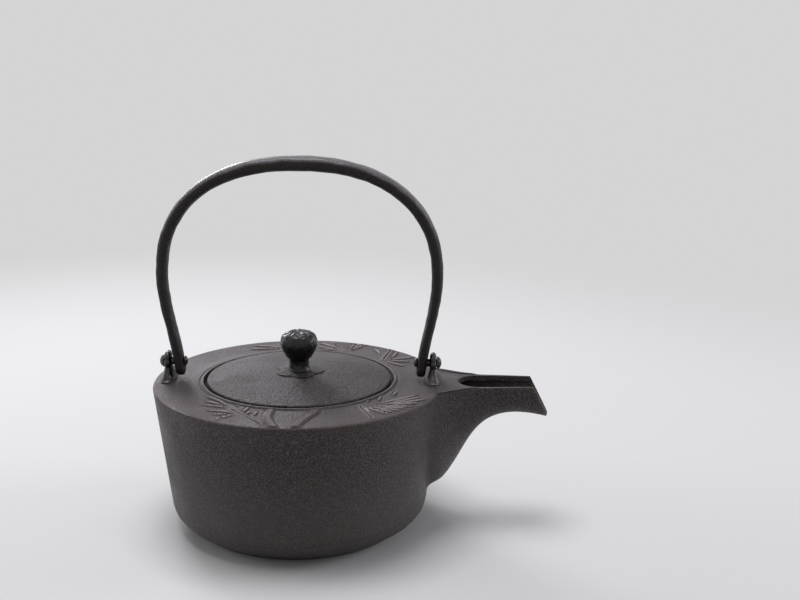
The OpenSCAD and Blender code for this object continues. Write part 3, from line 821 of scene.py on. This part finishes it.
def shoulderRelief(x, y):
    # height of the relief over the shoulder and the share of it that is stem: the highest of all strokes,
    # less the grooves that run beside them and the cut lines of the twigs
    b = bamboo
    height, groove, stem, cut = (np.zeros_like(x) for _ in range(4))
    for line, width in b["stems"]:
        d = strokeDistance(x, y, line)
        ridge = smooth((width / 2 + b["stemEdge"] - d) / (2 * b["stemEdge"]))
        height = np.maximum(height, b["stemH"] * ridge * (1 - b["stemHollow"] * bump(d, width / 4)))
        groove = np.maximum(groove, bump(d - width / 2 - b["stemGroove"], b["stemGrooveW"]))
        stem = np.maximum(stem, ridge)
    for line in b["twigs"]:
        d = strokeDistance(x, y, line)
        height = np.maximum(height, b["twigH"] * bump(d - b["twigEdge"], b["twigW"]))
        cut = np.maximum(cut, bump(d, b["cutW"]))
    for hub, tips in b["sprays"]:
        # between every two leaves stands one that starts further out and ends earlier
        tips = np.array(tips, float)
        leaves = [(tip, b["leaf"]) for tip in tips]
        leaves += [(tip, b["between"]) for tip in (tips[1:] + tips[:-1]) / 2]
        for tip, (start, end) in leaves:
            along, off, length = alongLine(x, y, hub, tip)
            off = off + b["leafBend"] * length * (4 * along * (1 - along))  # each leaf bends a little
            along = (along - start) / (end - start)
            half = b["leafW"] / 2 * b["leafFull"] * np.clip(along, 0, 1) ** b["leafRoot"]
            half = half * np.clip(1 - along, 0, 1) ** b["leafTip"]
            leaf = smooth((half - np.abs(off)) / b["leafEdge"]) * ((along > 0) & (along < 1))
            height = np.maximum(height, b["leafH"] * leaf)
            ends = smooth(along * b["leafEnds"]) * smooth((1 - along) * b["leafEnds"])
            groove = np.maximum(groove, bump(np.abs(off) - half - b["leafGroove"], b["leafGroove"]) * ends)
    height = height - b["groove"] * groove * (1 - smooth(height / b["grooveStop"]))
    return mix(height, -b["twigCut"], cut), stem


# a range is (from, to), and a ramp is (from, to, share at from, share at to)
castLook = dict(dark=(0.006, 0.005, 0.0048, 1), light=(0.018, 0.0142, 0.0132, 1),
                speckColour=(0.138, 0.12, 0.112, 1), speck=0.85,
                # painted light: low is a lighter colour towards the bottom, standing in for light thrown up
                # from the floor
                low=(0.07, 0.062, 0.06, 1), lowRamp=(0.012, 0.062, 0.75, 0),
                worn=(0.085, 0.056, 0.045, 1), wearFrom=0.06, wearFull=0.2,
                # the shoulder's up-facing colours are partly its own purple-brown tone and partly painted
                # sheen of the light from above
                topRange=(0.72, 0.97), topDark=(0.0145, 0.0104, 0.0116, 1),
                topLight=(0.031, 0.0228, 0.024, 1), topSpeck=(0.1, 0.082, 0.086, 1),
                stem=(0.045, 0.028, 0.025, 1), stemRamp=(0.2, 0.9, 0, 0.75), offStemRamp=(0.1, 0.4, 1, 0),
                # painted light: crest is a painted highlight on the relief's crests, groove is painted shade
                # in its grooves and cut lines
                crestHighlight=(0.34, 0.302, 0.311, 1), crestHighlightRamp=(0.12, 0.5, 0, 0.95),
                groove=(0.008, 0.0062, 0.006, 1), grooveShadeRamp=(-0.3, -0.08, 0.9, 0),
                grain=1, pits=1, size=1, bump=1, depth=0.7,
                rough=0.39, roughSpread=0.16, gloss=0.4, sheen=(1, 0.93, 0.98, 1))
castIron = ironFinish("castIron", castLook)
makePiece("pot_casting", makePot(), "pot", "cast_body", castIron, "body")


# lid and its knob

lid = dict(gap=1.6, edgeH=3.1, rise=3, edgeRound=0.8, padW=1, thick=2.6, flangeH=4.5, flangeT=2.8,
           seatGap=0.15, flangeGap=0.5, hole=4.06, seatRound=0.3, flangeRound=0.6, domeEnd=1.6, domeRows=26,
           underRows=12, roundSteps=4)
# the bud's outline is (share from neck to full width, share of the height)
knob = dict(d=19.2, h=20.4, neck=9.8, tang=4, tangHead=1.3, tangRound=0.5, headRound=0.2, washer=9, washerT=1,
            bud=[(0.2, 0), (0.06, 0.05), (0, 0.15), (0, 0.25), (0.14, 0.315), (0.36, 0.36), (0.57, 0.435),
                 (0.74, 0.5), (0.91, 0.595), (1, 0.7), (0.96, 0.79), (0.77, 0.89), (0.42, 0.955),
                 (-0.05, 0.99), (-0.6, 0.98)],
            tipH=0.955, rows=90, blur=3, ringAt=0.36, ringW=0.4, ringOut=0.3,
            lobes=5, lobeDepth=0.3, lobeSway=0.35, lobeTurn=0.4, lobeFrom=0.3, lobeOver=0.5, lobeInner=3,
            lumps=0.08, lumpWave=(5, 8), lumpInner=2.5,
            wrinkles=9, wrinkleDepth=0.45, wrinkleSway=1.5, wrinkleWave=(9, 12), wrinklePower=1.5,
            wrinkleFrom=0.72, wrinkleOver=0.2, wrinkleInner=2, sag=0.5)
seat = dict(d=24.8, thick=0.9, petals=5, holeGap=0.03, root=0.76, petalPower=0.7, steps=180, rows=16,
            curl=0.55, curlFrom=0.55, veinDepth=0.12, veinW=0.12, veinFrom=0.4, veinOver=0.3, rimT=0.15)

lidR = mouthR - lid["gap"]
lidZ = ledgeZ + lid["seatGap"]
lidEdgeZ = lidZ + lid["edgeH"]
lidTopZ = lidEdgeZ + lid["rise"]
padR = seat["d"] / 2 + lid["padW"]
knobZ = lidTopZ + seat["thick"]


def domeZ(r):
    # height of the lid's top: a flat pad, and a parabola from it down to the edge
    return lidEdgeZ + lid["rise"] * (1 - ((np.maximum(r, padR) - padR) / (lidR - padR)) ** 2)


def makeLid():
    # section of the lid: hole, flat pad, dome, round edge, seat, ring and underside, turned about the axis
    ringOut = throatR - lid["flangeGap"]
    ringIn = ringOut - lid["flangeT"]
    ringZ = lidZ - lid["flangeH"]
    hole = lid["hole"] / 2
    r = np.linspace(padR, lidR - lid["edgeRound"] * lid["domeEnd"], lid["domeRows"])
    top = joined(r, domeZ(r))
    edge = roundedLine([(*top[-1], 0), (lidR, domeZ(lidR), lid["edgeRound"]), (lidR, lidZ, lid["seatRound"]),
                        (ringOut, lidZ, lid["seatRound"]), (ringOut, ringZ, lid["flangeRound"]),
                        (ringIn, ringZ, lid["flangeRound"]), (ringIn, domeZ(ringIn) - lid["thick"], 0)],
                       lid["roundSteps"])
    r = np.linspace(ringIn, padR, lid["underRows"])
    under = joined(r, domeZ(r) - lid["thick"])
    ends = np.array([(hole, lidTopZ - lid["thick"]), (hole, lidTopZ)])
    section = np.concatenate([ends, top, edge[1:], under[1:], ends[:1]])
    return patchMesh("lidPlate", [spun(section, fullTurn)])


def makeKnob():
    # bud on a neck: a profile of radius against height, turned about the axis, with lobes that fade to the
    # neck and wrinkles on top
    k, h = knob, knob["h"]
    share = np.array(k["bud"])
    line = joined(mix(k["neck"] / 2, k["d"] / 2, share[:, 0]), knobZ + h * share[:, 1])
    line = np.concatenate([line, [(0, knobZ + k["tipH"] * h)]])
    way = np.concatenate([[0], np.cumsum(np.linalg.norm(np.diff(line, axis=0), axis=1))])
    fine = np.linspace(0, way[-1], k["rows"])
    line = joined(np.interp(fine, way, line[:, 0]), np.interp(fine, way, line[:, 1]))
    for _ in range(k["blur"]):
        line[1:-1] = (line[:-2] + 2 * line[1:-1] + line[2:]) / 4
    # ring between neck and bud
    line[:, 0] += k["ringOut"] * bump(line[:, 1] - knobZ - k["ringAt"] * h, k["ringW"])
    washerZ = lidTopZ - lid["thick"] - k["washerT"]
    tangR, headR = k["tang"] / 2, (k["tang"] + k["washer"]) / 4
    foot = roundedLine([(0, washerZ - k["tangHead"], 0), (tangR, washerZ - k["tangHead"], k["tangRound"]),
                        (headR, washerZ, k["headRound"]), (tangR, washerZ, 0), (tangR, knobZ, 0),
                        (line[0, 0], knobZ, 0)])
    p = spun(np.concatenate([foot[:-1], line]), fullTurn)
    r, angle = np.hypot(p[..., 0], p[..., 1]), np.arctan2(p[..., 1], p[..., 0])
    up = smooth((p[..., 2] - knobZ - k["lobeFrom"] * h) / (k["lobeOver"] * h))
    groove = 1 - np.abs(np.sin(angle * k["lobes"] / 2 + k["lobeSway"] * np.sin(2 * angle) + k["lobeTurn"]))
    dent = k["lobeDepth"] * up * groove ** 2 * smooth(r / k["lobeInner"])
    dent = dent + k["lumps"] * up * (1 + ripple(p, *k["lumpWave"])) * smooth(r / k["lumpInner"])
    fold = 1 - np.abs(np.sin(angle * k["wrinkles"] / 2 + k["wrinkleSway"] * ripple(p, *k["wrinkleWave"])))
    top = smooth((p[..., 2] - knobZ - k["wrinkleFrom"] * h) / (k["wrinkleOver"] * h))
    top = top * smooth(r / k["wrinkleInner"])
    p[..., :2] *= (1 - dent / np.maximum(r, 1))[..., None]
    p[..., 2] -= (k["sag"] * dent + k["wrinkleDepth"] * fold ** k["wrinklePower"]) * top
    return patchMesh("knobBud", [p])


def makeSeat():
    # petals: radius swings between root and tip with the angle; veins run along the top, and the tips curl
    # down to the lid
    f = around(seat["steps"])
    half = f * seat["petals"] / 2
    tip, tangR = seat["d"] / 2, knob["tang"] / 2 + seat["holeGap"]
    rim = tip * mix(seat["root"], 1, np.abs(np.cos(half)) ** seat["petalPower"])
    s = np.concatenate([np.linspace(0, 1, seat["rows"]), [1, 1]])[:, None]
    curl = seat["curl"] * smooth((s - seat["curlFrom"]) / (1 - seat["curlFrom"]))
    vein = bump(np.sin(half), seat["veinW"]) * smooth((s - seat["veinFrom"]) / seat["veinOver"])
    z = lidTopZ + seat["thick"] * (1 - curl) - seat["veinDepth"] * vein
    z[0] = lidTopZ + seat["thick"]
    z[-2] = lidTopZ + seat["rimT"]
    z[-1] = lidTopZ
    top = polar(mix(tangR, rim, s), f, z)
    closing = polar(tangR, f, lidTopZ)[None]
    return patchMesh("knobSeat", [np.concatenate([top, closing, top[:1]])])


lidLook = dict(dark=(0.0045, 0.0036, 0.004, 1), light=(0.02, 0.0134, 0.0132, 1),
               speckColour=(0.115, 0.1, 0.106, 1), speck=0.85,
               worn=(0.09, 0.06, 0.048, 1), wearFrom=0.04, wearFull=0.16, grain=1, pits=1.5, size=0.72,
               bump=1, depth=0.8, rough=0.38, roughSpread=0.16, gloss=0.24, sheen=(0.98, 0.93, 1, 1))
knobLook = dict(dark=(0.0055, 0.005, 0.0055, 1), light=(0.012, 0.0105, 0.011, 1), flats=0.5, flatScale=420,
                worn=(0.03, 0.028, 0.032, 1), wearFrom=0.06, wearFull=0.3, bump=0.9, depth=0.7,
                rough=0.24, roughSpread=0.12, gloss=0.42, sheen=(0.96, 0.96, 1, 1))
seatLook = dict(lidLook, dark=(0.007, 0.006, 0.0064, 1), light=(0.022, 0.0165, 0.0165, 1), speck=0.5,
                worn=(0.03, 0.022, 0.02, 1))
lidIron = ironFinish("lidIron", lidLook)
knobIron = ironFinish("knobIron", knobLook)
seatIron = ironFinish("seatIron", seatLook)
makePiece("lid_plate", makeLid(), "lid", "lid_iron", lidIron, "lid")
makePiece("knob_bud", makeKnob(), "lid", "knob_iron", knobIron, "knob")
makePiece("knob_petals", makeSeat(), "lid", "knob_iron", seatIron, "knob_seat")


# handle

handle = dict(legInset=12.1, set=0.8, pinH=9.4, height=101.3, belly=7.1, widestH=43.6, lean=7, fullness=2.3,
              legT=4.9, legW=10, topT=8, topW=11, legShare=0.42, squareness=2.6, toe=7.4, toeCrowd=0.6,
              toeThin=0.35, toeThinPower=6, toeRound=0.97, toeRows=15, legRows=39, archRows=69, steps=40,
              dents=0.3, dentWave=(11, 5), fineWave=(5.5, 6), fineShare=0.6, plainH=8, plainFade=10)

pinZ = topZ + handle["pinH"]
legX = rimR - handle["legInset"]
legLean = math.tan(math.radians(handle["lean"]))


def handleLine():
    # half of the bar from toe to top as x, z, thickness, width: leaning toe, leg that bends out, arch; and
    # the other half mirrored
    h = handle
    halfW, power = h["legW"] / 2, 2 / h["fullness"]

    def section(grow):
        return [mix(h["legT"], h["topT"], grow), mix(h["legW"], h["topW"], grow)]

    drop = h["toe"] * (1 - np.linspace(0, 1, h["toeRows"] + 1)[:-1] ** h["toeCrowd"])[:, None]
    past = np.clip((drop - (h["toe"] - halfW)) / halfW, 0, 1)
    toe = np.concatenate([legX - legLean * drop, pinZ - drop,
                          h["legT"] * (1 - h["toeThin"] * past ** h["toeThinPower"]),
                          h["legW"] * np.sqrt(1 - h["toeRound"] * past ** 2)], 1)
    u = np.linspace(0, 1, h["legRows"] + 1)[:-1, None]
    out = h["belly"] * smooth(u) + legLean * h["widestH"] * u * (1 - u) ** 2
    leg = np.concatenate([legX + out, pinZ + h["widestH"] * u] + section(u * h["legShare"]), 1)
    u = np.linspace(0, 1, h["archRows"] + 1)[:, None]
    a = u * math.pi / 2
    arch = np.concatenate([(legX + h["belly"]) * np.cos(a).clip(0) ** power,
                           pinZ + h["widestH"] + (h["height"] - h["widestH"]) * np.sin(a) ** power]
                          + section(mix(h["legShare"], 1, u)), 1)
    half = np.concatenate([toe, leg, arch])
    other = half[-2::-1] * np.array([-1, 1, 1, 1])
    return np.concatenate([half, other])


def makeHandle():
    # flat bar: a superellipse across the line at each place, dented as a hammer leaves it
    line = handleLine()
    way = np.gradient(line[:, :2], axis=0)
    way /= np.linalg.norm(way, axis=1)[:, None]
    q = around(handle["steps"])
    n = 2 / handle["squareness"]
    out = (line[:, 2] / 2)[:, None] * signedPower(np.cos(q), n)
    wide = (line[:, 3] / 2)[:, None] * signedPower(np.sin(q), n)
    p = joined(handle["set"] + line[:, :1] + way[:, 1:] * out, wide, line[:, 1:2] - way[:, :1] * out)
    ends = [np.repeat(p[i].mean(0)[None, None], p.shape[1], 1) for i in (0, -1)]
    mesh = patchMesh("bailBar", [np.concatenate([ends[0], p, ends[1]])])
    p = points(mesh)
    clear = smooth((p[:, 2] - pinZ - handle["plainH"]) / handle["plainFade"])  # plain legs beside the ears
    share = handle["fineShare"]
    dents = ripple(p, *handle["dentWave"]) + share * ripple(p, *handle["fineWave"]) - (1 + share)
    dents = handle["dents"] * dents / 2 * clear
    movePoints(mesh, p + normals(mesh) * dents[:, None])
    return mesh


# painted light: the bar's upper faces take a much lighter colour, a painted highlight standing in for the
# sheen of the light from above
handleLook = dict(dark=(0.005, 0.0042, 0.004, 1), light=(0.012, 0.009, 0.008, 1),
                  speckColour=(0.022, 0.018, 0.018, 1), speck=0.7, worn=(0.04, 0.03, 0.026, 1),
                  wearFrom=0.08, wearFull=0.3, topRange=(0.15, 0.6), topDark=(0.04, 0.035, 0.04, 1),
                  topLight=(0.085, 0.075, 0.086, 1), topSpeck=(0.2, 0.185, 0.21, 1), coat=0.5, coatRough=0.32,
                  grain=1, pits=1, size=0.8, bump=1, depth=0.6, rough=0.42, roughSpread=0.14, gloss=0.32,
                  sheen=(1, 0.94, 0.93, 1))
handleIron = ironFinish("handleIron", handleLook)
makePiece("bail_handle", makeHandle(), "handle", "handle_iron", handleIron, "handle")


# ears and pins

# the ear's shape is (share of the height, of the width, of the thickness), and its first rows are the foot
ear = dict(height=14.8, width=20, thick=7.8, boss=0.5, fullness=3, sideGap=0.5, seatGap=0.03,
           shape=[(0, 0.97, 0.94), (0.045, 0.95, 0.9), (0.06, 0.88, 0.84), (0.14, 0.79, 0.74),
                  (0.27, 0.63, 0.59), (0.4, 0.5, 0.48), (0.46, 0.46, 0.45), (0.57, 0.52, 0.49),
                  (0.635, 0.53, 0.5), (0.69, 0.5, 0.46), (0.735, 0.45, 0.41), (0.78, 0.47, 0.46),
                  (0.86, 0.45, 0.47), (0.94, 0.34, 0.36), (0.985, 0.17, 0.18), (1, 0, 0)],
           footRows=3, rows=60, rowsFrom=0.08, blur=2, steps=56,
           lumps=0.12, lumpWave=(7, 21), lumpShift=9, lumpFrom=1, lumpFade=1.5)
pin = dict(d=4, headD=6.6, headH=2.3, tailD=5.2, tailH=1.4, domeRows=13, steps=48,
           lumps=0.05, lumpWave=(4, 11), lumpShift=20, lumpFade=0.6)

bossT = ear["boss"] * ear["thick"] / 2
earMid = legX + handle["legT"] / 2 + (ear["height"] - handle["pinH"]) * legLean + ear["sideGap"] + bossT


def makeEar(turn):
    # superellipse sections stacked along Z: wide foot, waist, boss round the pin and a small knob on top
    shape, foot = np.array(ear["shape"]), ear["footRows"]
    h = np.concatenate([shape[:foot, 0], np.linspace(ear["rowsFrom"], 1, ear["rows"])])
    size = joined(*[np.interp(h, shape[:, 0], shape[:, k]) for k in (1, 2)])
    for _ in range(ear["blur"]):
        size[foot + 1:-1] = (size[foot:-2] + 2 * size[foot + 1:-1] + size[foot + 2:]) / 4
    q = around(ear["steps"])
    n = 2 / ear["fullness"]
    x = earMid + size[:, 1:] * ear["thick"] / 2 * signedPower(np.cos(q), n)
    y = size[:, :1] * ear["width"] / 2 * signedPower(np.sin(q), n)
    z = topZ + ear["seatGap"] + ear["height"] * h[:, None]
    p = joined(x, y, z)
    base = joined(earMid, 0 * q, z[0])[None]
    mesh = patchMesh("earPlate", [np.concatenate([base, p])])
    p = points(mesh)
    sink = ear["lumps"] * (ripple(p + ear["lumpShift"] * turn, *ear["lumpWave"]) - 1) / 2
    sink = sink * smooth((p[:, 2] - topZ - ear["lumpFrom"]) / ear["lumpFade"])
    p = p + normals(mesh) * sink[:, None]
    movePoints(mesh, p * np.array([turn, turn, 1]) + np.array([handle["set"], 0, 0]))
    return mesh


def makePin(turn):
    # rivet along X: domed tail, shaft and domed head, turned about the pin's axis and a little lumpy
    headX = earMid + bossT + ear["seatGap"]
    tailX = legX - handle["legT"] / 2 - ear["sideGap"]
    f = np.linspace(0, math.pi / 2, pin["domeRows"])
    tail = joined(pin["tailD"] / 2 * np.sin(f), tailX - pin["tailH"] * np.cos(f))
    head = joined(pin["headD"] / 2 * np.cos(f), headX + pin["headH"] * np.sin(f))
    shaft = np.array([(pin["d"] / 2, tailX), (pin["d"] / 2, headX)])
    section = np.concatenate([tail, shaft, head])
    p = spun(section, around(pin["steps"]))[..., [2, 1, 0]]
    domes = smooth((p[..., 0] - headX) / pin["lumpFade"]) + smooth((tailX - p[..., 0]) / pin["lumpFade"])
    lump = 1 - pin["lumps"] * domes * (1 + ripple(p + pin["lumpShift"] * turn, *pin["lumpWave"]))
    p[..., 1:] *= lump[..., None]
    p = p * np.array([turn, turn, 1]) + np.array([handle["set"], 0, pinZ])
    return patchMesh("rivetPin", [p])


# the ears' and pins' rubbed edges are paler than the pot's: partly real wear, partly a painted highlight
earLook = dict(dark=(0.006, 0.005, 0.005, 1), light=(0.016, 0.0122, 0.0115, 1), flats=1, flatScale=260,
               worn=(0.1, 0.08, 0.08, 1), wearFrom=0.05, wearFull=0.22, bump=0.8, depth=0.6, rough=0.23,
               roughSpread=0.14, gloss=0.6, sheen=(1, 0.95, 0.98, 1))
earIron = ironFinish("earIron", earLook)
pinIron = ironFinish("pinIron", dict(earLook, flatScale=330, flats=0.9))
washerIron = ironFinish("washerIron", dict(lidLook, grain=0.6, bump=0.3, speck=0.3))
for name, turn in (("front", 1), ("rear", -1)):
    makePiece(name + "_ear_plate", makeEar(turn), "pot", "black_iron", earIron, name + "_ear")
    makePiece(name + "_rivet", makePin(turn), "pot", "pin_iron", pinIron, name + "_pin")
for name in ("front_ear_washer", "rear_ear_washer", "knob_washer"):
    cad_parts[name].data.materials.clear()
    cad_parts[name].data.materials.append(washerIron)
print("all pieces are in place")
